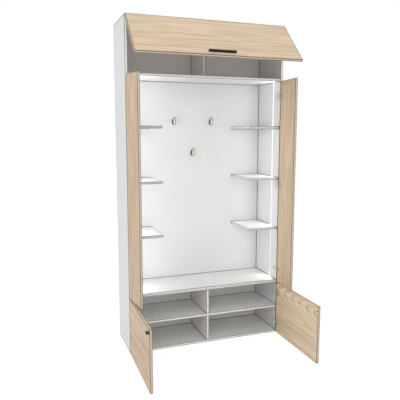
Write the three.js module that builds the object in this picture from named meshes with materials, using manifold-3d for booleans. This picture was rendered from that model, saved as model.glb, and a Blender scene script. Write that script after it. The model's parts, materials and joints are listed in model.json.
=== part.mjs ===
// Mudroom locker unit: a tall open niche with lit sides, hooks and corner shelves, a top locker
// with a lift-up flap, and four shoe cubbies behind two doors.
// Millimetres, +X right, -Y out of the front, +Z up. The origin is on the floor, in the middle of
// the carcass. The doors and the flap stand open, and each turns about its own row of hinge pins.

import * as THREE from 'three'
import { mergeVertices } from 'three/addons/utils/BufferGeometryUtils.js'
import Module from 'manifold-3d'

const wasm = await Module()
wasm.setup()

// Carcass
const unitWidth = 1114
const unitDepth = 357
const unitHeight = 2200
const boardThickness = 16
const benchThickness = 22
const backRecess = 9.5
const edgeEase = 0.8
const fitGap = 0.3
const cutOverrun = 2

// The bench's top above the floor, the top locker's height, and the shelves between as shares of
// the heights that they divide
const benchTop = 404
const lockerHeight = 351
const shoeShelfHeightShare = 0.525
const cornerShelfHeightShares = [0.274, 0.527, 0.78]

// Shelf widths and the distances that pieces keep behind the carcass's front
const cornerShelfWidth = 223
const cornerShelfSetback = 6
const lockerDividerSetback = 92
const halfLapShare = 0.5

// Doors and flap
const frontThickness = 16
const frontGap = 3
const doorInset = 1
const flapInset = 2
const tallDoorWidth = 231
const shoeDoorFootGap = 2
const shoeDoorBenchLap = 1
const shoeDoorMeetingGap = 4
const flapMezzanineLap = 11
const flapToDoorGap = 6

// How far each front stands open, in degrees from closed
const openAngles = {
  leftTallDoor: 84.5,
  rightTallDoor: 85,
  leftShoeDoor: 90.5,
  rightShoeDoor: 89.5,
  flap: 44,
}

// Hinges: the pin lies inside the cup, seen from the door's hinge edge and its inner face
const pinFromEdge = 7
const pinFromInnerFace = 8
const pinRadius = 1
const knuckleRadius = 2
const knuckleWidth = 8
const pinClearance = 0.3
const cupBoreRadius = 17.5
const cupBoreDepth = 12
const cupEdgeDistance = 3
const cupWall = 0.8
const cupFloor = 1
const cupFlange = 1
const cupFlangeLip = 1.2
const cupWingLength = 58
const cupWingWidth = 16
const cupWingOffset = 6
const neckThickness = 2
const armPlateThickness = 2.5
const armPlateLength = 48
const armPlateWidth = 30
const armPlateSetback = 13
const armBodyHeight = 7
const armBodyWidth = 14
const armBodyStart = 4
const armBodyLength = 46
const armBodySlope = 5
const tallHingeFromEnd = 100
const tallHingeUnderShelf = 8
const shoeHingeFromEnd = 80
const shoeHingeCount = 2
const flapHingeFromEnd = 110
const flapHingeCount = 3

// Grips: a bar with a finger groove, long and slim on the flap, short and higher on the shoe doors.
// The right shoe door's grip keeps further from its free edge than the left one's.
const gripReach = 16
const gripWall = 3
const grooveDepth = 5.5
const grooveCorner = 2
const gripCorner = 1.2
const flapGripLength = 184
const flapGripHeight = 8
const flapGripFromEdge = 26
const shoeGripLength = 32
const shoeGripHeight = 12
const shoeGripFromTop = 17.5
const leftShoeGripFromEdge = 4
const rightShoeGripFromEdge = 26

// Coat hooks: a strap bent into a J, its tip leaning away from the wall
const hookWidth = 20
const hookStrap = 4.5
const hookBend = 9
const hookHeight = 56
const hookLeafHeight = 42
const hookLean = 14.5
const hookPairSpacing = 286
const hookPairDrop = 246
const hookRowPitch = 225

// Light strips, let into the side panels
const lightSetback = 100
const lightWidth = 9
const lightDepth = 8
const lightWall = 1
const lightCover = 1.5
const tapeWidth = 6
const tapeThickness = 1.2

// Facets of a full circle
const roundFacets = 24
const smallFacets = 10
const arcFacets = 4

// Planes that several pieces share
const halfWidth = unitWidth / 2
const innerHalf = halfWidth - boardThickness
const frontPlane = -unitDepth / 2
const rearPlane = unitDepth / 2
const backFace = rearPlane - backRecess - boardThickness
const shelfBack = backFace - fitGap
const benchUnderside = benchTop - benchThickness
const mezzanineTop = unitHeight - lockerHeight
const mezzanineUnderside = mezzanineTop - boardThickness
const topUnderside = unitHeight - boardThickness
const nicheHeight = mezzanineUnderside - benchTop
const shoeShelfTop = boardThickness + shoeShelfHeightShare * (benchUnderside - boardThickness)
const shoeShelfUnderside = shoeShelfTop - boardThickness
const cornerShelfTops = cornerShelfHeightShares.map((share) => benchTop + share * nicheHeight)
const innerSpan = [-innerHalf + fitGap, innerHalf - fitGap]
const shelfSpan = [frontPlane, shelfBack]
const centreSpan = [-boardThickness / 2, boardThickness / 2]
const shoeDoorSpan = [shoeDoorFootGap, benchUnderside + shoeDoorBenchLap]
const flapBottom = mezzanineTop - flapMezzanineLap
const tallDoorSpan = [shoeDoorSpan[1] + frontGap, flapBottom - flapToDoorGap]

const laminate = { color: 0xe9e8e6, roughness: 0.5, metalness: 0 }
const oak = { color: 0xd9c2a5, roughness: 0.55, metalness: 0 }
const bronze = { color: 0x2d2620, roughness: 0.45, metalness: 0.6 }
const nickel = { color: 0xc9cbcc, roughness: 0.3, metalness: 0.9 }
const satinMetal = { color: 0xdcdcdc, roughness: 0.4, metalness: 0.5 }
const anodised = { color: 0xd4d6d8, roughness: 0.35, metalness: 0.8 }
const opal = { color: 0xfbfdff, roughness: 0.4, metalness: 0 }
const tapeWhite = { color: 0xf2efe2, roughness: 0.6, metalness: 0 }

const unit = new THREE.Group()

// Shapes

// A closed geometry as a solid that can be joined and cut.
function toSolid(geometry) {
  const bare = new THREE.BufferGeometry()
  bare.setAttribute('position', geometry.getAttribute('position'))
  bare.setIndex(geometry.getIndex())
  const welded = mergeVertices(bare)
  return new wasm.Manifold(new wasm.Mesh({
    numProp: 3,
    vertProperties: new Float32Array(welded.getAttribute('position').array),
    triVerts: new Uint32Array(welded.getIndex().array),
  }))
}

// A solid as a geometry with flat facets.
function toGeometry(solid) {
  const result = solid.getMesh()
  const shared = new THREE.BufferGeometry()
  shared.setAttribute('position', new THREE.BufferAttribute(new Float32Array(result.vertProperties), 3))
  shared.setIndex(new THREE.BufferAttribute(new Uint32Array(result.triVerts), 1))
  const faceted = shared.toNonIndexed()
  faceted.computeVertexNormals()
  return faceted
}

// A named piece of the unit, with its own material.
function addPiece(parent, name, geometry, finish) {
  const mesh = new THREE.Mesh(geometry, new THREE.MeshStandardMaterial(finish))
  mesh.name = name
  parent.add(mesh)
  return mesh
}

// A plain block between two planes on each axis.
function block([x0, x1], [y0, y1], [z0, z1]) {
  const box = new THREE.BoxGeometry(x1 - x0, y1 - y0, z1 - z0)
  return box.translate((x0 + x1) / 2, (y0 + y1) / 2, (z0 + z1) / 2)
}

// A board between two planes on each axis, its edges eased by a small chamfer.
function easedBoard([x0, x1], [y0, y1], [z0, z1], ease = edgeEase) {
  const face = new THREE.Shape([
    new THREE.Vector2(x0 + ease, y0 + ease),
    new THREE.Vector2(x1 - ease, y0 + ease),
    new THREE.Vector2(x1 - ease, y1 - ease),
    new THREE.Vector2(x0 + ease, y1 - ease),
  ])
  const body = extruded(face, z1 - z0, ease)
  return body.translate(0, 0, z0)
}

// A shape drawn in XY and drawn out along +Z, from 0 to length, eased at both ends.
function extruded(shape, length, ease = 0) {
  const settings = { depth: length - 2 * ease, curveSegments: arcFacets, bevelEnabled: ease > 0 }
  if (ease > 0) {
    Object.assign(settings, { bevelSegments: 1, bevelSize: ease, bevelThickness: ease })
  }
  return new THREE.ExtrudeGeometry(shape, settings).translate(0, 0, ease)
}

// A cylinder along Z between two heights, about a point.
function post(radius, [z0, z1], x = 0, y = 0, facets = smallFacets) {
  const cylinder = new THREE.CylinderGeometry(radius, radius, z1 - z0, facets)
  return cylinder.rotateX(Math.PI / 2).translate(x, y, (z0 + z1) / 2)
}

// A rectangle with round corners, about the origin.
function roundedRectangle(width, height, radius) {
  const x = width / 2 - radius
  const y = height / 2 - radius
  const shape = new THREE.Shape()
  shape.absarc(x, y, radius, 0, Math.PI / 2)
  shape.absarc(-x, y, radius, Math.PI / 2, Math.PI)
  shape.absarc(-x, -y, radius, Math.PI, 1.5 * Math.PI)
  shape.absarc(x, -y, radius, 1.5 * Math.PI, 2 * Math.PI)
  shape.closePath()
  return shape
}

// Carcass

// A full-height side, grooved on its inner face for the light strip. side is -1 left, 1 right.
function addSidePanel(name, side) {
  const inner = side * innerHalf
  const outer = side * halfWidth
  const span = [Math.min(inner, outer), Math.max(inner, outer)]
  const panel = toSolid(easedBoard(span, [frontPlane, rearPlane], [0, unitHeight]))
  const grooveEnds = [inner + side * (lightDepth + fitGap), inner - side * cutOverrun]
  const grooveHalf = lightWidth / 2 + fitGap
  const lightCentre = frontPlane + lightSetback
  const groove = toSolid(block(
    [Math.min(...grooveEnds), Math.max(...grooveEnds)],
    [lightCentre - grooveHalf, lightCentre + grooveHalf],
    [benchTop, mezzanineUnderside],
  ))
  addPiece(unit, name, toGeometry(panel.subtract(groove)), laminate)
}

// The boards that run between the two sides.
function addCrossBoards() {
  const fullDepth = [frontPlane, rearPlane]
  const boards = [
    ['bottom_panel', fullDepth, [0, boardThickness]],
    ['bench_shelf', shelfSpan, [benchUnderside, benchTop]],
    ['mezzanine_shelf', shelfSpan, [mezzanineUnderside, mezzanineTop]],
    ['top_panel', fullDepth, [topUnderside, unitHeight]],
    ['back_panel', [backFace, backFace + boardThickness], [boardThickness + fitGap, topUnderside - fitGap]],
  ]
  for (const [name, depth, height] of boards) {
    addPiece(unit, name, easedBoard(innerSpan, depth, height), laminate)
  }
}

// The shoe shelf and its divider, halved into each other: the divider is slotted from the front
// and the shelf from the back.
function addShoeCross() {
  const lapEnd = frontPlane + halfLapShare * (shelfBack - frontPlane)
  const slotHalf = boardThickness / 2 + fitGap
  const shelf = toSolid(easedBoard(innerSpan, shelfSpan, [shoeShelfUnderside, shoeShelfTop]))
  const shelfSlot = toSolid(block(
    [-slotHalf, slotHalf],
    [lapEnd, shelfBack + cutOverrun],
    [shoeShelfUnderside - cutOverrun, shoeShelfTop + cutOverrun],
  ))
  addPiece(unit, 'shoe_shelf', toGeometry(shelf.subtract(shelfSlot)), laminate)
  const height = [boardThickness + fitGap, benchUnderside - fitGap]
  const divider = toSolid(easedBoard(centreSpan, shelfSpan, height))
  const dividerSlot = toSolid(block(
    [-boardThickness, boardThickness],
    [frontPlane - cutOverrun, lapEnd + fitGap],
    [shoeShelfUnderside - fitGap, shoeShelfTop + fitGap],
  ))
  addPiece(unit, 'shoe_divider', toGeometry(divider.subtract(dividerSlot)), laminate)
}

// The upright in the middle of the top locker, set back behind the flap.
function addLockerDivider() {
  const depth = [frontPlane + lockerDividerSetback, shelfBack]
  const height = [mezzanineTop + fitGap, topUnderside - fitGap]
  addPiece(unit, 'locker_divider', easedBoard(centreSpan, depth, height), laminate)
}

// Three corner shelves on each side of the niche, numbered from the lowest.
function addCornerShelves() {
  const depth = [frontPlane + cornerShelfSetback, shelfBack]
  for (const [sideName, side] of [['left', -1], ['right', 1]]) {
    const ends = [side * (innerHalf - fitGap), side * (innerHalf - cornerShelfWidth)]
    const span = [Math.min(...ends), Math.max(...ends)]
    cornerShelfTops.forEach((top, i) => {
      const geometry = easedBoard(span, depth, [top - boardThickness, top])
      addPiece(unit, `corner_shelf_${sideName}_${i + 1}`, geometry, laminate)
    })
  }
}

// A light strip: a channel in the side panel's groove, the tape on its floor and the cover that
// closes it flush with the panel.
function addLightStrip(sideName, side) {
  const centre = frontPlane + lightSetback
  const height = [benchTop + fitGap, mezzanineUnderside - fitGap]
  const across = (half) => [centre - half, centre + half]
  const into = (near, far) => {
    const ends = [side * (innerHalf + near), side * (innerHalf + far)]
    return [Math.min(...ends), Math.max(...ends)]
  }
  const hollowHalf = lightWidth / 2 - lightWall
  const channel = toSolid(block(into(0, lightDepth), across(lightWidth / 2), height))
  const hollow = toSolid(block(
    into(-cutOverrun, lightDepth - lightWall),
    across(hollowHalf),
    [benchTop - cutOverrun, mezzanineUnderside + cutOverrun],
  ))
  const tapeBack = lightDepth - lightWall - fitGap
  const tape = block(into(tapeBack - tapeThickness, tapeBack), across(tapeWidth / 2), height)
  const cover = block(into(0, lightCover), across(hollowHalf - fitGap), height)
  addPiece(unit, `light_channel_${sideName}`, toGeometry(channel.subtract(hollow)), anodised)
  addPiece(unit, `light_tape_${sideName}`, tape, tapeWhite)
  addPiece(unit, `light_cover_${sideName}`, cover, opal)
}

// Coat hooks

// The side profile of a hook: x is the reach from the wall, y the height above its foot.
function hookProfile() {
  const inner = hookBend - hookStrap
  const lean = THREE.MathUtils.degToRad(hookLean)
  const along = new THREE.Vector2(Math.sin(lean), Math.cos(lean))
  const out = new THREE.Vector2(Math.cos(lean), -Math.sin(lean))
  const centre = new THREE.Vector2(hookBend, hookBend)
  const straight = (hookHeight - hookBend + hookBend * Math.sin(lean)) / Math.cos(lean)
  const outerTip = centre.clone().addScaledVector(out, hookBend).addScaledVector(along, straight)
  const innerTip = outerTip.clone().addScaledVector(out, -hookStrap)
  const profile = new THREE.Shape()
  profile.moveTo(0, hookLeafHeight)
  profile.lineTo(0, hookBend)
  profile.absarc(hookBend, hookBend, hookBend, Math.PI, 2 * Math.PI - lean)
  profile.lineTo(outerTip.x, outerTip.y)
  profile.lineTo(innerTip.x, innerTip.y)
  profile.absarc(hookBend, hookBend, inner, 2 * Math.PI - lean, Math.PI, true)
  profile.lineTo(hookStrap, hookLeafHeight)
  profile.closePath()
  return { profile, reach: outerTip.x }
}

// A hook whose ends are rounded as seen from the front, standing on the back panel.
function hookGeometry() {
  const { profile, reach } = hookProfile()
  const strap = toSolid(extruded(profile, hookWidth).translate(0, 0, -hookWidth / 2)
    .rotateX(Math.PI / 2).rotateZ(-Math.PI / 2))
  const front = roundedRectangle(hookWidth, hookHeight, hookWidth / 2)
  const envelope = toSolid(extruded(front, reach + cutOverrun).rotateX(Math.PI / 2)
    .translate(0, 0, hookHeight / 2))
  const leafTop = roundedRectangle(hookWidth, hookLeafHeight, hookWidth / 2)
  const leafEnvelope = toSolid(extruded(leafTop, hookBend).rotateX(Math.PI / 2)
    .translate(0, 0, hookLeafHeight / 2))
  const prongSide = toSolid(block(
    [-hookWidth, hookWidth],
    [-reach - cutOverrun, -hookBend],
    [-cutOverrun, hookHeight + cutOverrun],
  ))
  const prong = strap.intersect(prongSide).intersect(envelope)
  const leaf = strap.intersect(leafEnvelope)
  return toGeometry(prong.add(leaf))
}

// Two hooks side by side and a third in the middle of the row below them.
function addHooks() {
  const pairFoot = mezzanineUnderside - hookPairDrop - hookHeight
  const places = [
    ['hook_left', -hookPairSpacing / 2, pairFoot],
    ['hook_right', hookPairSpacing / 2, pairFoot],
    ['hook_middle', 0, pairFoot - hookRowPitch],
  ]
  for (const [name, x, foot] of places) {
    const hook = addPiece(unit, name, hookGeometry(), satinMetal)
    hook.position.set(x, backFace - fitGap, foot)
  }
}

// Hinges. Here +X runs along the front away from its hinge edge, +Y runs into the cabinet and +Z
// along the pin, which lies on the origin.

const cupCentre = cupEdgeDistance + cupBoreRadius - pinFromEdge
const cupRadius = cupBoreRadius - fitGap
const cupFoot = pinFromInnerFace - cupBoreDepth + fitGap
const flangeFoot = pinFromInnerFace + fitGap
const flangeTop = flangeFoot + cupFlange

// A solid drawn along Z turned so that it stands along +Y, with its foot at the given depth.
function standing(geometry, depth) {
  return toSolid(geometry.rotateX(-Math.PI / 2).translate(0, depth, 0))
}

// The cup with its flange, its two screw wings and the pin across its mouth.
function cupGeometry() {
  const height = flangeTop - cupFoot
  const shell = standing(post(cupRadius, [0, height], cupCentre, 0, roundFacets), cupFoot)
  const well = standing(
    post(cupRadius - cupWall, [cupFloor, height + cutOverrun], cupCentre, 0, roundFacets),
    cupFoot,
  )
  const lip = standing(
    post(cupRadius + cupFlangeLip, [0, cupFlange], cupCentre, 0, roundFacets),
    flangeFoot,
  )
  const wingOutline = roundedRectangle(cupWingWidth, cupWingLength, cupWingWidth / 2)
  const wings = standing(
    extruded(wingOutline, cupFlange).translate(cupCentre + cupWingOffset, 0, 0),
    flangeFoot,
  )
  const pin = toSolid(post(pinRadius, [-cupRadius, cupRadius])).intersect(shell)
  return toGeometry(shell.add(lip).add(wings).subtract(well).add(pin))
}

// The arm: a knuckle round the pin, a neck out of the cup and round the panel's front edge, and a
// body on a plate that is fixed to the panel's inner face, which lies at panelFace.
function armGeometry(panelFace) {
  const seat = panelFace + fitGap
  const armFoot = seat + armPlateThickness
  const neckTop = armFoot + neckThickness
  const carcassFront = pinFromInnerFace + frontGap
  const bodyStart = carcassFront + armBodyStart
  const bodyEnd = bodyStart + armBodyLength
  const bodyTop = armFoot + armBodyHeight
  const halfNeck = neckThickness / 2
  const alongPin = (geometry, width) => toSolid(geometry.translate(0, 0, -width / 2))
  const neckOutline = new THREE.Shape([
    new THREE.Vector2(0, -halfNeck),
    new THREE.Vector2(neckTop, -halfNeck),
    new THREE.Vector2(neckTop, bodyStart + armBodySlope),
    new THREE.Vector2(armFoot, bodyStart + armBodySlope),
    new THREE.Vector2(armFoot, halfNeck),
    new THREE.Vector2(0, halfNeck),
  ])
  const bodyOutline = new THREE.Shape([
    new THREE.Vector2(armFoot, bodyStart),
    new THREE.Vector2(neckTop, bodyStart),
    new THREE.Vector2(bodyTop, bodyStart + armBodySlope),
    new THREE.Vector2(bodyTop, bodyEnd - armBodySlope),
    new THREE.Vector2(neckTop, bodyEnd),
    new THREE.Vector2(armFoot, bodyEnd),
  ])
  const plateOutline = roundedRectangle(armPlateWidth, armPlateLength, armPlateWidth / 2 - edgeEase)
  const plate = toSolid(extruded(plateOutline, armPlateThickness + halfNeck)
    .rotateX(Math.PI / 2).rotateZ(Math.PI / 2)
    .translate(seat, carcassFront + armPlateSetback + armPlateWidth / 2, 0))
  const knuckle = toSolid(post(knuckleRadius, [-knuckleWidth / 2, knuckleWidth / 2]))
  const bore = toSolid(post(pinRadius + pinClearance, [-knuckleWidth, knuckleWidth]))
  return toGeometry(alongPin(extruded(neckOutline, knuckleWidth), knuckleWidth)
    .add(alongPin(extruded(bodyOutline, armBodyWidth), armBodyWidth))
    .add(plate)
    .add(knuckle)
    .subtract(bore))
}

// A front board with the blind bores of its cups. ends are its limits along the pins.
function frontBoardGeometry(width, ends, hingePlaces) {
  const innerFace = pinFromInnerFace
  const leaf = toSolid(easedBoard(
    [-pinFromEdge, width - pinFromEdge],
    [innerFace - frontThickness, innerFace],
    ends,
  ))
  return toGeometry(hingePlaces.reduce((rest, place) => {
    const bore = post(cupBoreRadius, [0, cupBoreDepth + cutOverrun], cupCentre, 0, roundFacets)
    return rest.subtract(standing(bore, innerFace - cupBoreDepth).translate(0, 0, place))
  }, leaf))
}

// Evenly spaced places from one end of a front to the other.
function spreadPlaces([low, high], fromEnd, count) {
  const first = low + fromEnd
  const pitch = (high - low - 2 * fromEnd) / (count - 1)
  return Array.from({ length: count }, (_, i) => first + i * pitch)
}

// A front on its hinges: a fixed frame on the pin line, with the arms, and in it the front's own
// group, turned open, with the board and the cups. Returns that group.
function addFront({ name, pinX, pinZ, turn, width, ends, places, panelFace, open }) {
  const fixed = new THREE.Group()
  fixed.position.set(pinX, frontPlane - frontGap - pinFromInnerFace, pinZ)
  fixed.rotation.y = turn
  unit.add(fixed)
  const swinging = new THREE.Group()
  swinging.rotation.z = -THREE.MathUtils.degToRad(open)
  fixed.add(swinging)
  addPiece(swinging, name, frontBoardGeometry(width, ends, places), oak)
  places.forEach((place, i) => {
    addPiece(fixed, `${name}_hinge_arm_${i + 1}`, armGeometry(panelFace), nickel).position.z = place
    addPiece(swinging, `${name}_hinge_cup_${i + 1}`, cupGeometry(), nickel).position.z = place
  })
  return swinging
}

// Doors hang on a vertical pin line. The right-hand ones are the left-hand ones turned half round,
// so their own Z runs downwards. places are the hinges' heights above the floor.
function addDoor(name, side, width, [bottom, top], places, open) {
  const left = side < 0
  return addFront({
    name,
    pinX: side * (halfWidth - doorInset - pinFromEdge),
    pinZ: 0,
    turn: left ? 0 : Math.PI,
    width,
    ends: left ? [bottom, top] : [-top, -bottom],
    places: left ? places : places.map((place) => -place).reverse(),
    panelFace: boardThickness - doorInset - pinFromEdge,
    open,
  })
}

// Grips

// A grip bar along Z, drawn in XY. Its foot lies on Y = 0 and its groove opens towards +X.
function gripGeometry(length, height) {
  const grooveFloor = height - grooveDepth
  const lip = gripReach - gripWall
  const outerCorner = gripReach - gripCorner
  const outline = new THREE.Shape()
  outline.moveTo(0, 0)
  outline.lineTo(height, 0)
  outline.lineTo(height, gripWall)
  outline.absarc(
    grooveFloor + grooveCorner,
    gripWall + grooveCorner,
    grooveCorner,
    1.5 * Math.PI,
    Math.PI,
    true,
  )
  outline.absarc(
    grooveFloor + grooveCorner,
    lip - grooveCorner,
    grooveCorner,
    Math.PI,
    Math.PI / 2,
    true,
  )
  outline.lineTo(height, lip)
  outline.absarc(height - gripCorner, outerCorner, gripCorner, 0, Math.PI / 2)
  outline.absarc(gripCorner, outerCorner, gripCorner, Math.PI / 2, Math.PI)
  outline.closePath()
  return extruded(outline, length).translate(0, 0, -length / 2)
}

// A grip on a front's outer face, at a place in the front's own X and Z. turn is the angle from the
// front's X to the side that the groove opens to.
function addGrip(front, name, [length, height], [x, z], turn) {
  const grip = addPiece(front, name, gripGeometry(length, height), bronze)
  grip.rotation.set(Math.PI, turn, 0, 'YXZ')
  grip.position.set(x, pinFromInnerFace - frontThickness - fitGap, z)
}

// Fronts in their places

// The grips of the shoe doors lie level near the upper free corners, their grooves downwards.
function addShoeDoors() {
  const width = halfWidth - doorInset - shoeDoorMeetingGap / 2
  const places = spreadPlaces(shoeDoorSpan, shoeHingeFromEnd, shoeHingeCount)
  const hanging = [width, shoeDoorSpan, places]
  const left = addDoor('shoe_door_left', -1, ...hanging, openAngles.leftShoeDoor)
  const right = addDoor('shoe_door_right', 1, ...hanging, openAngles.rightShoeDoor)
  const gripSize = [shoeGripLength, shoeGripHeight]
  const gripX = (fromEdge) => width - pinFromEdge - fromEdge - shoeGripLength / 2
  const gripTop = shoeDoorSpan[1] - shoeGripFromTop
  addGrip(left, 'knob_left', gripSize, [gripX(leftShoeGripFromEdge), gripTop], Math.PI / 2)
  addGrip(right, 'knob_right', gripSize, [gripX(rightShoeGripFromEdge), -gripTop], -Math.PI / 2)
}

// The middle hinge of a tall door sits just under the middle corner shelf.
function addTallDoors() {
  const [bottom, top] = tallDoorSpan
  const middleShelfUnderside = cornerShelfTops[1] - boardThickness
  const places = [
    bottom + tallHingeFromEnd,
    middleShelfUnderside - tallHingeUnderShelf - armPlateLength / 2,
    top - tallHingeFromEnd,
  ]
  const hanging = [tallDoorWidth, tallDoorSpan, places]
  addDoor('tall_door_left', -1, ...hanging, openAngles.leftTallDoor)
  addDoor('tall_door_right', 1, ...hanging, openAngles.rightTallDoor)
}

// The flap hangs under the top panel on a pin line along X.
function addFlap() {
  const ends = [-halfWidth + doorInset, halfWidth - doorInset]
  const flapHeight = unitHeight - flapInset - flapBottom
  const flap = addFront({
    name: 'flap',
    pinX: 0,
    pinZ: unitHeight - flapInset - pinFromEdge,
    turn: Math.PI / 2,
    width: flapHeight,
    ends,
    places: spreadPlaces(ends, flapHingeFromEnd, flapHingeCount),
    panelFace: boardThickness - flapInset - pinFromEdge,
    open: openAngles.flap,
  })
  const gripX = flapHeight - pinFromEdge - flapGripFromEdge - flapGripHeight
  addGrip(flap, 'flap_handle', [flapGripLength, flapGripHeight], [gripX, 0], 0)
}

addSidePanel('side_panel_left', -1)
addSidePanel('side_panel_right', 1)
addCrossBoards()
addShoeCross()
addLockerDivider()
addCornerShelves()
addLightStrip('left', -1)
addLightStrip('right', 1)
addHooks()
addTallDoors()
addShoeDoors()
addFlap()

export default unit
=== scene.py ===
"""The looks of a mudroom locker unit: white boards, pale oak fronts, lit niche and hardware."""

import json
import math
from typing import NamedTuple

import bpy
from bpy.props import FloatProperty, FloatVectorProperty, PointerProperty
from bpy.types import Operator, Panel, PropertyGroup
from mathutils import Euler, Matrix, Vector


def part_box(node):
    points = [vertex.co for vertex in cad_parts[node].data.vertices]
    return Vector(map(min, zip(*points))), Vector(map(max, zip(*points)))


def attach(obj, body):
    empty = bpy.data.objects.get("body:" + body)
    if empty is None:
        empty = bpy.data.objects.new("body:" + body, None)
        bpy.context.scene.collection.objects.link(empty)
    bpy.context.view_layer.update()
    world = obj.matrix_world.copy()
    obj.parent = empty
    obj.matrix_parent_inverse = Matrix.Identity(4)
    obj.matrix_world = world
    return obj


bl_info = {
    "name": "Mudroom Locker Unit",
    "version": (1, 0, 0),
    "blender": (4, 5, 0),
    "location": "3D View > Sidebar > Locker",
    "description": "Finishes a locker unit: laminate boards, oak fronts, light strips and hardware",
    "category": "Object",
}

# How near two boards lie where they meet
TOUCH = 0.001
# The upward part of a normal beyond which a face counts as level
LEVEL = 0.9
# How far in from its edges a board still shows its edge band, and where its face begins
BAND_REACH = (0.0014, 0.0010)
# The part of a line's width that is fully dark, and the same for the painted shade of a seam and of
# a hook's rim
LINE_CORE_SHARE = 0.6
SEAM_SHADE_CORE_SHARE = 0.5
RIM_SHADE_CORE_SHARE = 0.7

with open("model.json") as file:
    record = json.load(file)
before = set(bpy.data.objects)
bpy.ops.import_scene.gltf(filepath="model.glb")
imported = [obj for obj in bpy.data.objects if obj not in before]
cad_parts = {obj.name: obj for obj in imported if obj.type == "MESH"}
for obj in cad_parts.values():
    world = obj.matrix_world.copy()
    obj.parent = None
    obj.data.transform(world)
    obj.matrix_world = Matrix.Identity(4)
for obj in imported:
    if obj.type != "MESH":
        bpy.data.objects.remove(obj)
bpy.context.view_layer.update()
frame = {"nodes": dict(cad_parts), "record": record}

SIDES = ("left", "right")
CARCASS_BOARDS = (
    "side_panel_left", "side_panel_right", "bottom_panel", "bench_shelf", "mezzanine_shelf",
    "top_panel", "back_panel", "shoe_shelf", "shoe_divider", "locker_divider",
    *(f"corner_shelf_{side}_{level}" for side in SIDES for level in (1, 2, 3)),
)
# Each front with its joint and the axis that its grain runs along
FRONTS = {
    "tall_door_left": ("left_tall_door_hinge", "Z"),
    "tall_door_right": ("right_tall_door_hinge", "Z"),
    "shoe_door_left": ("left_shoe_door_hinge", "X"),
    "shoe_door_right": ("right_shoe_door_hinge", "X"),
    "flap": ("flap_hinge", "X"),
}


# Settings

def colour(name, description, default):
    return FloatVectorProperty(
        name=name, description=description, default=default, size=3, subtype="COLOR", min=0, max=1,
    )


def length(name, description, default):
    return FloatProperty(
        name=name, description=description, default=default, unit="LENGTH", precision=4,
    )


def position(name, description, default):
    return FloatVectorProperty(
        name=name, description=description, default=default, size=3, unit="LENGTH",
        subtype="TRANSLATION",
    )


class LaminateSettings(PropertyGroup):
    face: colour("Face", "Melamine face of the carcass boards", (0.682, 0.683, 0.68))
    band: colour("Edge band", "Edge band of the carcass boards", (0.78, 0.768, 0.75))
    shelf_band: colour("Shelf band", "Edge band of the shelves and the bench", (0.63, 0.622, 0.61))
    # Also the colour of the painted shade where boards meet, along the foot and round the left
    # panel
    line: colour("Glue line", "Line where the edge band meets the face", (0.085, 0.08, 0.075))
    line_width: length("Glue line width", "Width of the line round each face", 0.0040)
    band_line_width: length("Band line width", "Width of the lines along each band", 0.00268)
    # Partly a line round the left panel, partly painted shade of the gap beside the doors
    side_line_and_shade_width: length("Side line width", "Width of the line round the left panel", 0.0085)
    # Painted shade along the unit's foot, where it meets the floor
    foot_shade_width: length("Foot line width", "Width of the line along the unit's foot", 0.0052)
    left_line_width: length("Left line width", "Width of the left shelves' band lines", 0.0040)
    # Painted shade in the corner where another board meets a face
    seam_shade_width: length("Seam width", "Width of the line on a face that another board meets", 0.0035)


class OakSettings(PropertyGroup):
    light: colour("Early wood", "Palest tone of the oak decor", (0.685, 0.535, 0.378))
    dark: colour("Late wood", "Darkest tone of the growth rings", (0.475, 0.318, 0.203))
    band: colour("Edge band", "Edge band of the fronts", (0.585, 0.47, 0.368))
    # Also the colour of the painted shade along a door's pins
    line: colour("Glue line", "Line where the edge band meets the face", (0.11, 0.075, 0.05))
    line_width: length("Glue line width", "Width of the line round each face", 0.0042)
    flap_line_width: length("Flap line width", "Width of the line round the flap's face", 0.0065)
    # Painted shade of the gap beside the carcass, along a door's pins
    hinge_shade_width: length("Hinge line width", "Width of the line along a door's pins", 0.008)
    ring_pitch: length("Ring pitch", "Distance between growth rings", 0.0125)


class MetalSettings(PropertyGroup):
    bronze: colour("Bronze", "Powder coat of the grips", (0.030, 0.022, 0.016))
    nickel: colour("Nickel", "Plating of the hinge arms", (0.68, 0.66, 0.625))
    cup: colour("Cups", "Plating of the hinge cups", (0.66, 0.60, 0.52))
    satin: colour("Satin metal", "Front of the coat hooks", (0.86, 0.86, 0.85))
    # Painted shade: the dark rim and sides of the coat hooks
    shadow_line: colour("Hook rim", "Rim and sides of the coat hooks", (0.035, 0.035, 0.034))
    rim_shade_width: length("Hook rim width", "Width of the rim round a hook's front", 0.0054)
    aluminium: colour("Aluminium", "Anodised channel of the light strips", (0.70, 0.71, 0.72))


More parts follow.
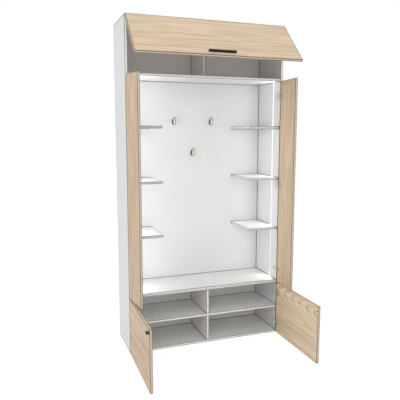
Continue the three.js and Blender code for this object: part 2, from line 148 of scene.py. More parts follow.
class LightSettings(PropertyGroup):
    glow: colour("Glow", "Colour of the lit cover", (0.93, 0.98, 1.0))
    cover: colour("Cover", "Opal cover over a light", (0.85, 0.87, 0.88))
    # Painted shade: the dark spots between the lights, where the cover lies in its channel's shade
    gap: colour("Gap", "Dark spots between the lights", (0.06, 0.06, 0.06))
    tape: colour("Tape", "Board of the light tape", (0.85, 0.84, 0.78))
    copper: colour("Copper", "Solder pads of the light tape", (0.62, 0.33, 0.18))
    chip: colour("Chip", "Chips of the light tape", (0.88, 0.72, 0.20))
    strength: FloatProperty(
        name="Strength", description="Brightness of the lit cover", default=1.45,
    )
    left_power: FloatProperty(
        name="Left power", description="Light of the left strip in the niche", default=4.4,
        unit="POWER",
    )
    right_power: FloatProperty(
        name="Right power", description="Light of the right strip in the niche", default=1.8,
        unit="POWER",
    )
    lamp_gap: length("Lamp gap", "How far a strip's lamp stands before its cover", 0.003)
    dot_pitch: length("Dot pitch", "Distance between the bright dots behind the cover", 0.0222)
    chip_length: length("Chip length", "Half the length of a chip", 0.0019)
    chip_width: length("Chip width", "Half the width of a chip", 0.0016)
    chip_edge: length("Chip edge", "How soft a chip's edge is", 0.0003)
    pad_step: length("Pad step", "Distance of a solder pad's middle along the tape", 0.0062)
    pad_offset: length("Pad offset", "Distance of a solder pad's middle from the tape's", 0.0022)
    pad_size: length("Pad size", "Half the side of a solder pad", 0.0009)
    pad_edge: length("Pad edge", "How soft a solder pad's edge is", 0.0002)


class ScrewSettings(PropertyGroup):
    radius: length("Radius", "Radius of a screw's head", 0.0036)
    height: length("Height", "How far a head stands out", 0.0013)
    rim: length("Rim", "How far a head's rim is rounded", 0.000715)
    sink: length("Sink", "How deep a head sits in its plate", 0.0002)
    cross: length("Cross", "Length of the arms of the cross recess", 0.0040)
    slot: length("Slot", "Width of the arms of the cross recess", 0.0009)
    plate: length("Plate", "Thickness of an arm's plate", 0.0038)
    plate_reach: length("Plate reach", "Distance of the plate's middle behind the pin", 0.039)
    plate_pitch: length("Plate pitch", "Distance between a plate's screws", 0.034)
    flange: length("Flange", "Thickness of a cup's wings", 0.0013)
    wing_reach: length("Wing reach", "Distance of the wing screws beside the pin", 0.0195)
    wing_pitch: length("Wing pitch", "Distance between a cup's screws", 0.047)


class StageSettings(PropertyGroup):
    camera_place: position("Camera", "Place of the camera", (-1.19545, -3.29126, 1.4733))
    camera_turn: FloatVectorProperty(
        name="Camera turn", description="Pitch, roll and yaw of the camera from level and +Y",
        size=3, subtype="EULER", unit="ROTATION",
        default=(math.radians(-7.77), math.radians(0.06), math.radians(-20.06)),
    )
    lens: FloatProperty(
        name="Lens", description="Focal length in mm on a 36 mm sensor", default=44.24,
        unit="CAMERA",
    )
    floor_size: length("Floor size", "Length of the floor's side", 40.0)
    floor_drop: length("Floor drop", "How far the floor lies below the unit's foot", 0.0003)
    floor: colour("Floor", "Colour of the floor", (0.86, 0.86, 0.85))
    floor_glow: FloatProperty(
        name="Floor glow", description="White that the floor shows", default=1.12,
    )
    floor_share: FloatProperty(
        name="Floor share", description="Share of that white in what the camera sees", default=0.78,
        subtype="FACTOR", min=0, max=1,
    )
    sky: FloatProperty(name="Sky", description="Strength of the even light all round", default=1.0)
    sky_tone: colour("Sky tone", "Colour of the even light", (0.98, 0.99, 1.0))
    key: FloatProperty(
        name="Key light", description="Power of the soft light in front", default=24.0,
        unit="POWER",
    )
    key_place: position("Key place", "Place of the soft light", (-2.2, -3.2, 3.6))
    key_aim: position("Key aim", "Point that the soft light faces", (0, 0, 1.1))
    key_size: length("Key size", "Length of the soft light's side", 2.6)
    fill: FloatProperty(
        name="Fill light", description="Strength of the shadowless light from above", default=0.34,
    )
    fill_tone: colour("Fill tone", "Colour of the shadowless light", (1.0, 0.965, 0.925))
    fill_way: FloatVectorProperty(
        name="Fill way", description="Way that the shadowless light shines", size=3,
        default=(0.20, 0.64, -0.74), subtype="DIRECTION",
    )
    fill_spread: FloatProperty(
        name="Fill spread", description="Angle that the shadowless light fills", default=0.5,
        unit="ROTATION",
    )


class LockerSettings(PropertyGroup):
    laminate: PointerProperty(type=LaminateSettings)
    oak: PointerProperty(type=OakSettings)
    metal: PointerProperty(type=MetalSettings)
    light: PointerProperty(type=LightSettings)
    screws: PointerProperty(type=ScrewSettings)
    stage: PointerProperty(type=StageSettings)


# Shader maths

class Value:
    """A number that varies over a surface. An expression on values adds its Math nodes."""

    def __init__(self, paint, socket):
        self.paint = paint
        self.socket = socket

    def _with(self, operation, *others):
        return self.paint.math(operation, self, *others)

    def __add__(self, other):
        return self._with("ADD", other)

    def __radd__(self, other):
        return self.paint.math("ADD", other, self)

    def __sub__(self, other):
        return self._with("SUBTRACT", other)

    def __rsub__(self, other):
        return self.paint.math("SUBTRACT", other, self)

    def __mul__(self, other):
        return self._with("MULTIPLY", other)

    def __truediv__(self, other):
        return self._with("DIVIDE", other)

    def __abs__(self):
        return self._with("ABSOLUTE")

    def least(self, other):
        return self._with("MINIMUM", other)

    def most(self, other):
        return self._with("MAXIMUM", other)

    def part(self):
        """What is left over a whole number."""
        return self._with("FRACT")

    def root(self):
        return self._with("SQRT")

    def sine(self):
        return self._with("SINE")

    def rise(self, start, end):
        """0 before start, 1 after end, and smooth between them. Start may lie after end."""
        node = self.paint.add(
            "ShaderNodeMapRange", {"interpolation_type": "SMOOTHSTEP"},
            {"Value": self, "From Min": start, "From Max": end},
        )
        return Value(self.paint, node.outputs["Result"])


class Paint:
    """The node tree of a material or a world, emptied, and the ways to add to it."""

    def __init__(self, owner):
        owner.use_nodes = True
        self.owner = owner
        self.tree = owner.node_tree
        self.tree.nodes.clear()

    @classmethod
    def material(cls, name):
        return cls(bpy.data.materials.new(name))

    def add(self, kind, settings=None, values=None):
        """A node of that type, with its settings made first and its sockets linked or set."""
        node = self.tree.nodes.new(kind)
        for key, setting in (settings or {}).items():
            setattr(node, key, setting)
        for key, value in (values or {}).items():
            self.fill(node.inputs[key], value)
        return node

    def fill(self, socket, value):
        """Links a value or another socket to a socket, or sets a number, a vector or a colour."""
        if isinstance(value, Value):
            value = value.socket
        if isinstance(value, bpy.types.NodeSocket):
            self.tree.links.new(value, socket)
        elif socket.type == "RGBA":
            socket.default_value = (*value, 1)
        else:
            socket.default_value = value

    def math(self, operation, *values):
        node = self.add("ShaderNodeMath", {"operation": operation}, dict(enumerate(values)))
        return Value(self, node.outputs[0])

    def place(self):
        """Where the point lies on the piece at rest, in metres."""
        return self.add("ShaderNodeTexCoord").outputs["Object"]

    def split(self, vector):
        node = self.add("ShaderNodeSeparateXYZ", None, {"Vector": vector})
        return [Value(self, node.outputs[i]) for i in range(3)]

    def vector(self, x, y, z):
        return self.add("ShaderNodeCombineXYZ", None, {"X": x, "Y": y, "Z": z}).outputs[0]

    def noise(self, vector, scale=1.0, detail=2.0, roughness=0.5):
        node = self.add(
            "ShaderNodeTexNoise", {"noise_dimensions": "3D"},
            {"Vector": vector, "Scale": scale, "Detail": detail, "Roughness": roughness},
        )
        return Value(self, node.outputs[0])

    def mix(self, share, first, second, blend="MIX"):
        """A colour between two, or the first blended with the second by share."""
        node = self.add(
            "ShaderNodeMix", {"data_type": "RGBA", "blend_type": blend, "clamp_factor": True},
            {0: share, 6: first, 7: second},
        )
        return node.outputs[2]

    def bump(self, height, depth, strength=1.0):
        """The normal of a surface whose height varies from 0 to 1 over depth metres."""
        node = self.add(
            "ShaderNodeBump", None, {"Height": height, "Distance": depth, "Strength": strength},
        )
        return node.outputs["Normal"]

    def surface(self, **sockets):
        """The finished surface. Socket names are written with _ for a space."""
        values = {name.replace("_", " "): value for name, value in sockets.items()}
        shader = self.add("ShaderNodeBsdfPrincipled", None, values)
        self.add("ShaderNodeOutputMaterial", None, {"Surface": shader.outputs[0]})
        return self.owner

    def backdrop_rays(self):
        """1 for rays that see the backdrop: from the camera, off a gloss or through glass."""
        rays = self.add("ShaderNodeLightPath")
        seen = self.math("MAXIMUM", rays.outputs["Is Camera Ray"], rays.outputs["Is Glossy Ray"])
        return seen.most(Value(self, rays.outputs["Is Transmission Ray"]))


# Boards

class Board:
    """A board's limits while it is closed, and the turn about its pins that closes it."""

    def __init__(self, node, joint=None):
        self.node = node
        self.turn = Matrix.Identity(3)
        self.shift = Vector((0, 0, 0))
        if joint:
            pivot = Vector(joint["pos_m"])
            axis = Vector(joint["axis"])
            self.turn = Matrix.Rotation(math.radians(joint["range_deg"][0]), 3, axis)
            self.shift = pivot - self.turn @ pivot
        places = [self.turn @ v.co + self.shift for v in frame["nodes"][node].data.vertices]
        self.low = [min(p[i] for p in places) for i in range(3)]
        self.high = [max(p[i] for p in places) for i in range(3)]

    def place(self, paint):
        """The coordinates of a point on the board while it is closed."""
        mapping = paint.add(
            "ShaderNodeMapping", {"vector_type": "POINT"},
            {"Vector": paint.place(), "Location": self.shift, "Rotation": self.turn.to_euler()},
        )
        return paint.split(mapping.outputs[0])

    def depths(self, place):
        """How far a point lies inside the board's limits on each axis."""
        return [(p - low).least(high - p) for p, low, high in zip(place, self.low, self.high)]


def joint_named(name):
    return next(j for j in frame["record"]["behaviour"]["joints"] if j["name"] == name)


def crossing_boards(board):
    """The boxes of the other carcass boards that meet this one."""
    boxes = [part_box(other) for other in CARCASS_BOARDS if other != board.node]
    return [
        (low, high) for low, high in boxes
        if all(low[i] < board.high[i] + TOUCH and high[i] > board.low[i] - TOUCH for i in range(3))
    ]


def seam_distance(place, boxes):
    """How far a point lies outside the nearest of some boxes, as a number below 0."""
    inside = None
    for low, high in boxes:
        a, b, c = [(p - near).least(far - p) for p, near, far in zip(place, low, high)]
        within = a.least(b).least(c)
        inside = within if inside is None else inside.most(within)
    return inside


def line_within(distance, width, core_share=LINE_CORE_SHARE):
    """1 nearer than a line's width, 0 beyond it, with a soft rim."""
    return distance.rise(width, width * core_share)


def edge_distance(depths):
    """The distance from a point on a board's surface to the nearest edge: the middle of three."""
    a, b, c = depths
    return a.least(b).most(a.most(b).least(c))


def wide_axes(board):
    """The two axes that a board's faces lie along."""
    spans = [high - low for low, high in zip(board.low, board.high)]
    return [i for i in range(3) if i != spans.index(min(spans))]


# Painted light and shade: how much paler or darker some boards are painted than the laminate's own
# tone, for the light that falls on each
BOARD_LIGHT_AND_SHADE = {
    "back_panel": 0.965,
    "side_panel_right": 1.01,
    "shoe_divider": 1.13,
    "locker_divider": 1.04,
    "mezzanine_shelf": 1.07,
    "corner_shelf_right_1": 1.12,
    "corner_shelf_right_2": 1.18,
    "corner_shelf_right_3": 1.10,
}
# Painted shade: how much darker the bands of the left shelves are painted, against the strong light
# of the strip beside them
BAND_PAINTED_SHADE = {
    "corner_shelf_left_3": 0.80,
    "corner_shelf_left_2": 0.95,
    "corner_shelf_left_1": 0.95,
}


def board_line(board, place, depths, banded, settings):
    """The lines round a board's faces and bands, and the painted shade along its foot, where other
    boards meet it and, on the left panel, beside the doors.
    """
    # Round the left panel the line is wider: painted shade of the gap beside the doors
    face_line = settings.side_line_and_shade_width if board.node == "side_panel_left" else settings.line_width
    on_left = board.node.startswith("corner_shelf_left")
    band_line = settings.left_line_width if on_left else settings.band_line_width
    rim = line_within(edge_distance(depths), face_line - banded * (face_line - band_line))
    # Painted shade in the corners where other boards meet this one
    seams = seam_distance(place, crossing_boards(board))
    line = rim.most(line_within(seams, -settings.seam_shade_width, SEAM_SHADE_CORE_SHARE) * (1 - banded))
    # Painted shade along the foot of the unit
    if board.node == "bottom_panel":
        line = line.most(line_within(place[2] - board.low[2], settings.foot_shade_width))
    return line


def laminate_material(board, settings):
    """White melamine: a fine pearl grain, faint clouding, warm edge bands, a thin glue line,
    painted shade where boards meet, along the foot and beside the doors, and some boards painted
    paler or darker as painted light and shade.
    """
    paint = Paint.material(f"laminate_{board.node}")
    place = board.place(paint)
    depths = board.depths(place)
    wide = wide_axes(board)
    everywhere = paint.vector(*place)
    cloud = paint.noise(everywhere, scale=3.5, detail=3.0)
    pearl = paint.noise(everywhere, scale=900.0, detail=2.0, roughness=0.6)
    scuffs = paint.noise(everywhere, scale=38.0, detail=5.0, roughness=0.7).rise(0.62, 0.78)
    banded = depths[wide[0]].least(depths[wide[1]]).rise(*BAND_REACH)
    line = board_line(board, place, depths, banded, settings)
    # Painted light and shade: the board's face made paler or darker for the light that falls on it
    base = [c * BOARD_LIGHT_AND_SHADE.get(board.node, 1.0) for c in settings.face]
    face = paint.mix(cloud, [c * 0.965 for c in base], [min(1, c * 1.025) for c in base])
    face = paint.mix(pearl.rise(0.35, 0.75) * 0.06, face, [c * 0.86 for c in base])
    edging = settings.shelf_band if board.node.startswith(("corner", "bench")) else settings.band
    # Painted shade: the left shelves' bands made darker
    edging = [c * BAND_PAINTED_SHADE.get(board.node, 1.0) for c in edging]
    band = paint.mix(cloud, [c * 0.97 for c in edging], [c * 1.02 for c in edging])
    tone = paint.mix(banded, face, band)
    # The glue lines, and the painted shade where boards meet, along the foot and beside the doors,
    # all in the line colour
    tone = paint.mix(line * 0.92, tone, settings.line)
    rough = 0.42 + cloud * 0.06 + pearl * 0.08 + scuffs * 0.10
    return paint.surface(
        Base_Color=tone, Roughness=rough, Specular_IOR_Level=0.45,
        Normal=paint.bump(pearl + cloud * 0.3, 0.00012, 0.5),
    )


class Log(NamedTuple):
    """How the log lay behind a front's face."""

    across: float  # of its heart, from the board's middle
    depth: float  # of its heart behind the face, where it comes nearest
    slope: float  # of its heart away from the face, along the grain
    nearest: float  # place along the board where its heart comes nearest
    darkness: float  # of its rings


LOGS = {
    "tall_door_left": Log(0.02, 0.10, 0.035, -0.6, 1.0),
    "tall_door_right": Log(-0.03, 0.12, 0.03, 0.9, 1.0),
    "shoe_door_left": Log(-0.27, 0.06, 0.05, 0.45, 2.2),
    "shoe_door_right": Log(0.135, 0.052, 0.13, -0.30, 2.3),
    "flap": Log(-0.34, 0.06, 0.02, -0.5, 1.0),
}
# Painted light and shade: how much paler or darker the two faces of each front are painted than the
# decor's own tone, outer face first, for the light that falls on each
FRONT_LIGHT_AND_SHADE = {
    "tall_door_left": ((0.90, 0.89, 0.885), (0.92, 0.92, 0.92)),
    "tall_door_right": ((0.92, 0.92, 0.92), (0.935, 0.95, 0.96)),
    "shoe_door_left": ((0.95, 0.96, 0.95), (0.96, 0.97, 0.96)),
    "shoe_door_right": ((0.96, 0.97, 0.96), (1.20, 1.32, 1.38)),
    "flap": ((0.95, 0.985, 1.03), (0.94, 0.95, 0.96)),
}
# What the decor's streaks are tinted by
YELLOW_CAST = (0.985, 0.99, 0.925)
PINK_CAST = (1.0, 0.955, 0.975)


def toned(tone, shift):
    return [min(1, c * s) for c, s in zip(tone, shift)]


def growth_rings(paint, along, across, y, log, pitch):
    """How far a point lies into a ring's late wood, and how dark the ring is there."""
    wander = paint.noise(paint.vector(along * 1.3, across * 3.0, y * 2.0), 1.0, 2.0) - 0.5
    ripple = paint.noise(paint.vector(along * 7.0, across * 26.0, y * 6.0), 1.0, 3.0) - 0.5
    bent = across - log.across + wander * 0.065 + ripple * 0.005
    below = log.depth + abs(along - log.nearest) * log.slope
    ring = (bent * bent + below * below).root() / pitch
    phase = ring.part()
    late = phase.rise(0.35, 0.92) * phase.rise(1.0, 0.95)
    strength = paint.noise(paint.vector(along * 0.9, ring * 0.37, y), 1.0, 1.0).rise(0.35, 0.7)
    return late, (0.12 + strength * 0.34) * log.darkness


def front_line(board, x, depths, banded, settings):
    """The glue line round a front's faces, and on a door also a line of painted shade along its
    pins, for the gap beside the carcass.
    """
    if board.node == "flap":
        spare = settings.flap_line_width - settings.line_width
        return line_within(edge_distance(depths), settings.flap_line_width - banded * spare)
    pin_edge = max(board.low[0], board.high[0], key=abs)
    rim = line_within(edge_distance(depths), settings.line_width)
    # The line along the pins is painted shade of the gap beside the carcass
    return rim.most(line_within(abs(x - pin_edge), settings.hinge_shade_width))


def oak_material(board, grain, settings):
    """Pale oak decor: growth rings cut by a leaning log, fibres, pores and edge bands, with each
    face painted paler or darker as painted light and shade.
    """
    paint = Paint.material(f"oak_{board.node}")
    place = board.place(paint)
    depths = board.depths(place)
    x, y, z = place
    along, across = (x, z) if grain == "X" else (z, x)
    middle = [(low + high) / 2 for low, high in zip(board.low, board.high)]
    along_middle, across_middle = (middle[0], middle[2]) if grain == "X" else (middle[2], middle[0])
    along = along - along_middle
    across = across - across_middle
    late, darkness = growth_rings(paint, along, across, y, LOGS[board.node], settings.ring_pitch)
    streak = paint.noise(paint.vector(along * 2.6, across * 62.0, y * 20.0), 1.0, 3.0, 0.6)
    tint = paint.noise(paint.vector(along * 0.9, across * 74.0, y * 20.0 + 3.1), 1.0, 1.0)
    fibre = paint.noise(paint.vector(along * 14.0, across * 520.0, y * 200.0), 1.0, 3.0, 0.6)
    pores = paint.noise(paint.vector(along * 60.0, across * 1500.0, y * 600.0), 1.0, 1.0)
    pores = pores.rise(0.63, 0.72)
    blotch = paint.noise(paint.vector(along * 1.1, across * 6.0, y), 1.0, 2.0)
    banded = depths[0].least(depths[2]).rise(*BAND_REACH)
    line = front_line(board, x, depths, banded, settings)
    wood = late * darkness + streak.rise(0.36, 0.66) * 0.58 - 0.12
    wood = wood + fibre.rise(0.4, 0.8) * 0.10 + blotch.rise(0.3, 0.7) * 0.10
    # Painted light and shade: each face of a front gets its own paler or darker copy of the decor
    outer, inner = [
        paint.mix(wood, toned(settings.light, shift), toned(settings.dark, shift))
        for shift in FRONT_LIGHT_AND_SHADE[board.node]
    ]
    tone = paint.mix(y.rise(middle[1] - TOUCH, middle[1] + TOUCH), outer, inner)
    cast = paint.mix(tint.rise(0.38, 0.62), YELLOW_CAST, PINK_CAST)
    tone = paint.mix(1.0, tone, cast, "MULTIPLY")
    tone = paint.mix(pores * (0.35 + late * 0.35), tone, [c * 0.72 for c in settings.dark])
    band = paint.mix(fibre * 0.35, settings.band, [c * 0.8 for c in settings.band])
    tone = paint.mix(banded, tone, band)
    # The glue line, and on a door the painted shade along its pins
    tone = paint.mix(line * 0.85, tone, settings.line)
    rough = 0.47 + wood * 0.12 + pores * 0.12 - line * 0.05
    relief = fibre * 0.35 - pores * 0.9 - late * 0.3
    return paint.surface(
        Base_Color=tone, Roughness=rough, Specular_IOR_Level=0.35,
        Normal=paint.bump(relief, 0.00016, 0.55),
    )


# Metals and light

def hook_material(node, settings):
    """A coat hook: a pale front with fine satin grain, and dark sides and rim painted as shade
    round it.
    """
    paint = Paint.material(node)
    place = paint.place()
    x, y, z = paint.split(place)
    low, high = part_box(node)
    radius = (high.x - low.x) / 2
    beyond = (abs(z - (low.z + high.z) / 2) - ((high.z - low.z) / 2 - radius)).most(0)
    across = x - (low.x + high.x) / 2
    inset = radius - (across * across + beyond * beyond).root()
    rim = line_within(inset, settings.rim_shade_width, RIM_SHADE_CORE_SHARE)
    grain = paint.noise(paint.vector(x, y, z * 0.05), scale=1600.0, detail=2.0)
    cloud = paint.noise(place, scale=60.0, detail=3.0)
    brushed = [c * 0.86 for c in settings.satin]
    front = paint.mix(grain * 0.25 + cloud * 0.15, settings.satin, brushed)
    # Painted shade: the rim and sides darker than the front
    side = paint.mix(cloud, settings.shadow_line, [c * 1.4 for c in settings.shadow_line])
    return paint.surface(
        Base_Color=paint.mix(rim, front, side), Metallic=0.1, Roughness=0.34 + grain * 0.12,
        Normal=paint.bump(grain, 0.00005, 0.4),
    )


def metal_material(name, tone, metallic, roughness, grain=(1, 1, 1), brushing=0.2):
    """A plated or coated metal: fine grain stretched by grain, faint clouding and rubbed spots."""
    paint = Paint.material(name)
    place = paint.place()
    x, y, z = paint.split(place)
    stretched = paint.vector(x * grain[0], y * grain[1], z * grain[2])
    fine = paint.noise(stretched, scale=1400.0, detail=2.0, roughness=0.6)
    cloud = paint.noise(place, scale=26.0, detail=3.0)
    wear = paint.noise(place, scale=210.0, detail=4.0, roughness=0.65).rise(0.60, 0.72)
    shade = paint.mix(cloud, [c * 0.90 for c in tone], [min(1, c * 1.08) for c in tone])
    shade = paint.mix(fine * brushing, shade, [c * 0.80 for c in tone])
    shade = paint.mix(wear * 0.18, shade, [min(1, c * 1.6 + 0.02) for c in tone])
    return paint.surface(
        Base_Color=shade, Metallic=metallic, Roughness=roughness + fine * 0.10 + cloud * 0.05,
        Normal=paint.bump(fine, 0.00006, 0.4),
    )


def cover_material(settings, low, high):
    """The lit opal cover: a bright dot over each light, brightest along its middle, and painted
    shade between the lights along one side, where the cover lies low in its channel."""
    paint = Paint.material("light_cover")
    place = paint.place()
    _, y, z = paint.split(place)
    middle = (low[1] + high[1]) / 2
    half = (high[1] - low[1]) / 2
    dots = (((z / settings.dot_pitch) * math.tau).sine() * 0.5 + 0.5).rise(0.2, 0.7)
    core = (abs(y - middle) / half).rise(1.0, 0.1)
    lower = (high[2] - z) / (high[2] - low[2])
    patch = (paint.noise(place, scale=13.0, detail=2.0) + lower * 0.35).rise(0.48, 0.80)
    # Painted shade along one side between the lights, where the cover lies low in its channel
    channel_shade = (y - middle).rise(half * 0.4, -half * 0.2) * dots.rise(0.65, 0.35) * patch
    lit = (0.45 + core * 0.55) * (1 - (1 - dots) * (0.12 + patch * 0.86)) * (1 - channel_shade)
    glow = paint.mix(lit, [c * 0.12 for c in settings.glow], settings.glow)
    return paint.surface(
        Base_Color=paint.mix(channel_shade, settings.cover, settings.gap), Roughness=0.4 + patch * 0.1,
        Emission_Color=glow, Emission_Strength=settings.strength,
    )


def tape_material(settings, low, high):
    """The light tape: a pale board with a warm chip and two copper pads at each pitch."""
    paint = Paint.material("light_tape")
    place = paint.place()
    _, y, z = paint.split(place)
    middle = (low[1] + high[1]) / 2
    step = ((z / settings.dot_pitch).part() - 0.5) * settings.dot_pitch
    off = abs(y - middle)
    length_end, width_end = settings.chip_length, settings.chip_width
    chip = abs(step).rise(length_end, length_end - settings.chip_edge)
    chip = chip * off.rise(width_end, width_end - settings.chip_edge)
    pad_end, pad_core = settings.pad_size, settings.pad_size - settings.pad_edge
    pads = abs(abs(step) - settings.pad_step).rise(pad_end, pad_core)
    pads = pads * abs(off - settings.pad_offset).rise(pad_end, pad_core)
    grain = paint.noise(place, scale=420.0, detail=2.0)
    tone = paint.mix(grain * 0.2, settings.tape, [c * 0.8 for c in settings.tape])
    tone = paint.mix(pads, tone, settings.copper)
    tone = paint.mix(chip, tone, settings.chip)
    return paint.surface(
        Base_Color=tone, Roughness=0.45 + grain * 0.15 - chip * 0.2,
        Normal=paint.bump(chip + pads * 0.4, 0.0003, 0.5),
    )


# Pieces

def settings_of(context):
    return context.scene.locker_unit


def dress(node, material):
    """Gives a CAD node a material of its own."""
    slots = frame["nodes"][node].data.materials
    slots.clear()
    slots.append(material)


def nodes_starting(*starts):
    return [name for name in frame["nodes"] if name.startswith(starts)]


class LOCKER_OT_carcass(Operator):
    """Finish the carcass boards in white laminate"""

    bl_idname = "locker.carcass"
    bl_label = "Carcass"

    def execute(self, context):
        settings = settings_of(context).laminate
        for node in CARCASS_BOARDS:
            dress(node, laminate_material(Board(node), settings))
        return {"FINISHED"}


class LOCKER_OT_fronts(Operator):
    """Finish the flap and the doors in pale oak"""

    bl_idname = "locker.fronts"
    bl_label = "Fronts"

    def execute(self, context):
        settings = settings_of(context).oak
        for node, (joint, grain) in FRONTS.items():
            dress(node, oak_material(Board(node, joint_named(joint)), grain, settings))
        return {"FINISHED"}


class LOCKER_OT_light_strips(Operator):
    """Finish the channels, tapes and lit covers in the side panels"""

    bl_idname = "locker.light_strips"
    bl_label = "Light strips"

    def execute(self, context):
        settings = settings_of(context)
        low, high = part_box("light_cover_right")
        channel = metal_material("channel", settings.metal.aluminium, 0.9, 0.32, (1, 1, 0.02))
        tape = tape_material(settings.light, low, high)
        cover = cover_material(settings.light, low, high)
        for side in SIDES:
            dress(f"light_channel_{side}", channel)
            dress(f"light_tape_{side}", tape)
            dress(f"light_cover_{side}", cover)
            self.lamp(context, side, settings.light)
        return {"FINISHED"}

    def lamp(self, context, side, settings):
        """A long narrow lamp in front of a cover, which throws its light into the niche."""
        low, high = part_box(f"light_cover_{side}")
        inward = 1 if side == "left" else -1
        middle = (low + high) / 2
        middle.x = (high.x if side == "left" else low.x) + inward * settings.lamp_gap
        bpy.ops.object.light_add(
            type="AREA", location=middle, rotation=(0, -inward * math.pi / 2, 0),
        )
        context.object.visible_camera = False
        lamp = context.object.data
        lamp.shape = "RECTANGLE"
        lamp.size = high.z - low.z
        lamp.size_y = high.y - low.y
        lamp.energy = getattr(settings, f"{side}_power")
        lamp.color = settings.glow


class LOCKER_OT_hardware(Operator):
    """Finish the hinges, hooks and grips"""

    bl_idname = "locker.hardware"
    bl_label = "Hardware"

    def execute(self, context):
        metal = settings_of(context).metal
        bronze = metal_material("bronze", metal.bronze, 0.5, 0.42, brushing=0.4)
        nickel = metal_material("nickel", metal.nickel, 0.5, 0.36, (1, 1, 0.2))
        cups = metal_material("cup_nickel", metal.cup, 0.6, 0.38)
        for node in nodes_starting("flap_handle", "knob_"):
            dress(node, bronze)
        for node in nodes_starting("hook_"):
            dress(node, hook_material(node, metal))
        for node in frame["nodes"]:
            if "_hinge_" in node:
                dress(node, cups if "_cup_" in node else nickel)
        return {"FINISHED"}


def hinge_axes(front):
    """The panel that carries a front's hinges, the way into the unit and the way along the pins."""
    if front == "flap":
        return "top_panel", Vector((0, 0, -1)), Vector((1, 0, 0))
    side = front.rsplit("_", 1)[1]
    return f"side_panel_{side}", Vector((1 if side == "left" else -1, 0, 0)), Vector((0, 0, 1))


def standing(point, normal):
    """Where a head drawn at the origin and facing +Z goes to stand on a point."""
    return Matrix.Translation(point) @ normal.to_track_quat("Z", "Y").to_matrix().to_4x4()


class LOCKER_OT_screws(Operator):
    """Add the cross-head screws of the hinges"""

    bl_idname = "locker.screws"
    bl_label = "Screws"

    def execute(self, context):
        settings = settings_of(context).screws
        head = self.head(context, settings)
        head.data.materials.append(
            metal_material("screw_steel", settings_of(context).metal.nickel, 0.8, 0.30),
        )
        for front, (joint_name, _) in FRONTS.items():
            joint = joint_named(joint_name)
            on_plates = self.plate_places(front, joint, settings)
            on_cups = self.cup_places(front, joint, settings)
            self.group(context, head, f"{front}_plate_screws", on_plates, "carcass")
            self.group(context, head, f"{front}_cup_screws", on_cups, joint["child"])
        bpy.data.objects.remove(head)
        return {"FINISHED"}

    def head(self, context, settings):
        """A low round head with a rounded rim and a cross recess, facing +Z."""
        bpy.ops.object.select_all(action="DESELECT")
        bpy.ops.mesh.primitive_cylinder_add(
            vertices=24, radius=settings.radius, depth=settings.height,
            location=(0, 0, settings.height / 2 - settings.sink),
        )
        head = context.object
        bpy.ops.object.transform_apply(location=True, rotation=False, scale=False)
        for face in head.data.polygons:
            face.select = face.normal.z > LEVEL
        bpy.ops.object.mode_set(mode="EDIT")
        bpy.ops.mesh.bevel(offset=settings.rim, segments=4, affect="EDGES")
        bpy.ops.object.mode_set(mode="OBJECT")
        for turn in (0, math.pi / 2):
            self.cut(context, head, settings, turn)
        bpy.ops.object.select_all(action="DESELECT")
        head.select_set(True)
        context.view_layer.objects.active = head
        bpy.ops.object.shade_smooth_by_angle(angle=math.radians(35))
        return head

    def cut(self, context, head, settings, turn):
        """Sinks one bar of the cross recess into a head."""
        bpy.ops.mesh.primitive_cube_add(
            size=1, location=(0, 0, settings.height - settings.sink), rotation=(0, 0, turn),
        )
        bar = context.object
        bar.scale = (settings.cross, settings.slot, settings.height)
        difference = head.modifiers.new("cross", "BOOLEAN")
        difference.object = bar
        difference.operation = "DIFFERENCE"
        context.view_layer.objects.active = head
        bpy.ops.object.modifier_apply(modifier=difference.name)
        bpy.data.objects.remove(bar)

    def plate_places(self, front, joint, settings):
        """Where the heads stand on the plates of a front's hinge arms."""
        panel, inward, along = hinge_axes(front)
        face = max(inward.dot(corner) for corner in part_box(panel)) + settings.plate
        reach = joint["pos_m"][1] + settings.plate_reach
        for arm in nodes_starting(f"{front}_hinge_arm_"):
            low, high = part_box(arm)
            middle = inward * face + along * along.dot(low + high) / 2 + Vector((0, reach, 0))
            for step in (-settings.plate_pitch / 2, settings.plate_pitch / 2):
                yield standing(middle + along * step, inward)

    def cup_places(self, front, joint, settings):
        """Where the heads stand on the wings of a front's cups, while it is as open as at rest."""
        _, inward, along = hinge_axes(front)
        board = Board(front, joint)
        opening = board.turn.transposed().to_4x4() @ Matrix.Translation(-board.shift)
        beside = inward.dot(Vector(joint["pos_m"])) + settings.wing_reach
        height = Vector((0, board.high[1] + settings.flange, 0))
        for cup in nodes_starting(f"{front}_hinge_cup_"):
            low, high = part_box(cup)
            middle = inward * beside + along * along.dot(low + high) / 2 + height
            for step in (-settings.wing_pitch / 2, settings.wing_pitch / 2):
                yield opening @ standing(middle + along * step, Vector((0, 1, 0)))

    def group(self, context, head, name, places, body):
        """Copies of a head in their places, joined, riding on a body."""
        bpy.ops.object.select_all(action="DESELECT")
        for place in places:
            copy = head.copy()
            copy.data = head.data.copy()
            copy.data.transform(place)
            context.collection.objects.link(copy)
            copy.select_set(True)
            context.view_layer.objects.active = copy
        bpy.ops.object.join()
        screws = context.object
        screws.name = name
        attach(screws, body)


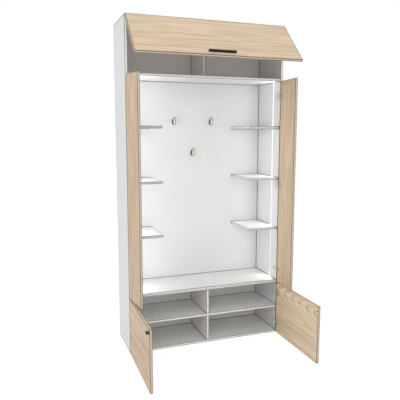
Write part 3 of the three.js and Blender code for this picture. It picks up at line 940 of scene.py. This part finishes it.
class LOCKER_OT_stage(Operator):
    """Set up the floor, the soft light and the camera"""

    bl_idname = "locker.stage"
    bl_label = "Stage"

    def execute(self, context):
        settings = settings_of(context).stage
        self.view(context, settings)
        self.floor(context, settings)
        self.sky(context, settings)
        self.lamps(context, settings)
        return {"FINISHED"}

    def view(self, context, settings):
        """A camera at eye level, in front of the unit and to its left, and plain colours."""
        pitch, roll, yaw = settings.camera_turn
        level = math.pi / 2
        turn = Euler((level + pitch, 0, yaw)).to_matrix() @ Matrix.Rotation(roll, 3, "Z")
        bpy.ops.object.camera_add(location=settings.camera_place, rotation=turn.to_euler())
        camera = context.object
        camera.data.lens = settings.lens
        camera.data.sensor_width = 36
        context.scene.camera = camera
        context.scene.view_settings.view_transform = "Standard"

    def floor(self, context, settings):
        """A pale floor that is white to the camera and still keeps the unit's shadow."""
        bpy.ops.mesh.primitive_plane_add(
            size=settings.floor_size, location=(0, 0, -settings.floor_drop),
        )
        floor = context.object
        floor.name = "floor"
        bpy.ops.object.transform_apply(location=True, rotation=False, scale=False)
        paint = Paint.material("floor")
        grain = paint.noise(paint.place(), scale=60.0, detail=3.0)
        tone = paint.mix(grain * 0.2, settings.floor, [c * 0.96 for c in settings.floor])
        lit = paint.add("ShaderNodeBsdfPrincipled", None, {"Base Color": tone, "Roughness": 0.7})
        white = paint.add("ShaderNodeEmission", None, {"Strength": settings.floor_glow})
        share = paint.backdrop_rays() * settings.floor_share
        shader = paint.add(
            "ShaderNodeMixShader", None, {0: share, 1: lit.outputs[0], 2: white.outputs[0]},
        )
        paint.add("ShaderNodeOutputMaterial", None, {"Surface": shader.outputs[0]})
        floor.data.materials.append(paint.owner)

    def sky(self, context, settings):
        """Even light from all round, and a white backdrop."""
        context.scene.world = bpy.data.worlds.new("studio")
        paint = Paint(context.scene.world)
        soft = paint.add(
            "ShaderNodeBackground", None,
            {"Color": settings.sky_tone, "Strength": settings.sky},
        )
        white = paint.add("ShaderNodeBackground", None, {"Color": (1, 1, 1)})
        mix = paint.add(
            "ShaderNodeMixShader", None,
            {0: paint.backdrop_rays(), 1: soft.outputs[0], 2: white.outputs[0]},
        )
        paint.add("ShaderNodeOutputWorld", None, {"Surface": mix.outputs[0]})

    def lamps(self, context, settings):
        """A large soft lamp in front, and a sun without shadows that evens out the faces."""
        aim = Vector(settings.key_aim) - Vector(settings.key_place)
        bpy.ops.object.light_add(
            type="AREA", location=settings.key_place,
            rotation=aim.to_track_quat("-Z", "Y").to_euler(),
        )
        key = context.object.data
        key.energy = settings.key
        key.size = settings.key_size
        way = Vector(settings.fill_way)
        bpy.ops.object.light_add(type="SUN", rotation=way.to_track_quat("-Z", "Y").to_euler())
        fill = context.object.data
        fill.energy = settings.fill
        fill.color = settings.fill_tone
        fill.angle = settings.fill_spread
        fill.use_shadow = False


class LOCKER_PT_panel(Panel):
    """The steps that finish the locker unit"""

    bl_label = "Mudroom Locker Unit"
    bl_space_type = "VIEW_3D"
    bl_region_type = "UI"
    bl_category = "Locker"

    def draw(self, context):
        for step in STEPS:
            self.layout.operator(step.bl_idname)
        for group in ("laminate", "oak", "metal", "light", "screws", "stage"):
            box = self.layout.box()
            box.label(text=group.title())
            settings = getattr(settings_of(context), group)
            for key in settings.bl_rna.properties.keys():
                if key not in {"rna_type", "name"}:
                    box.prop(settings, key)


STEPS = (
    LOCKER_OT_stage,
    LOCKER_OT_carcass,
    LOCKER_OT_fronts,
    LOCKER_OT_light_strips,
    LOCKER_OT_hardware,
    LOCKER_OT_screws,
)
CLASSES = (
    LaminateSettings, OakSettings, MetalSettings, LightSettings, ScrewSettings, StageSettings,
    LockerSettings, *STEPS, LOCKER_PT_panel,
)


def register():
    for cls in CLASSES:
        bpy.utils.register_class(cls)
    bpy.types.Scene.locker_unit = PointerProperty(type=LockerSettings)


def unregister():
    del bpy.types.Scene.locker_unit
    for cls in reversed(CLASSES):
        bpy.utils.unregister_class(cls)


def main():
    register()
    for step in STEPS:
        area, name = step.bl_idname.split(".")
        getattr(getattr(bpy.ops, area), name)()


if __name__ == "__main__":
    main()
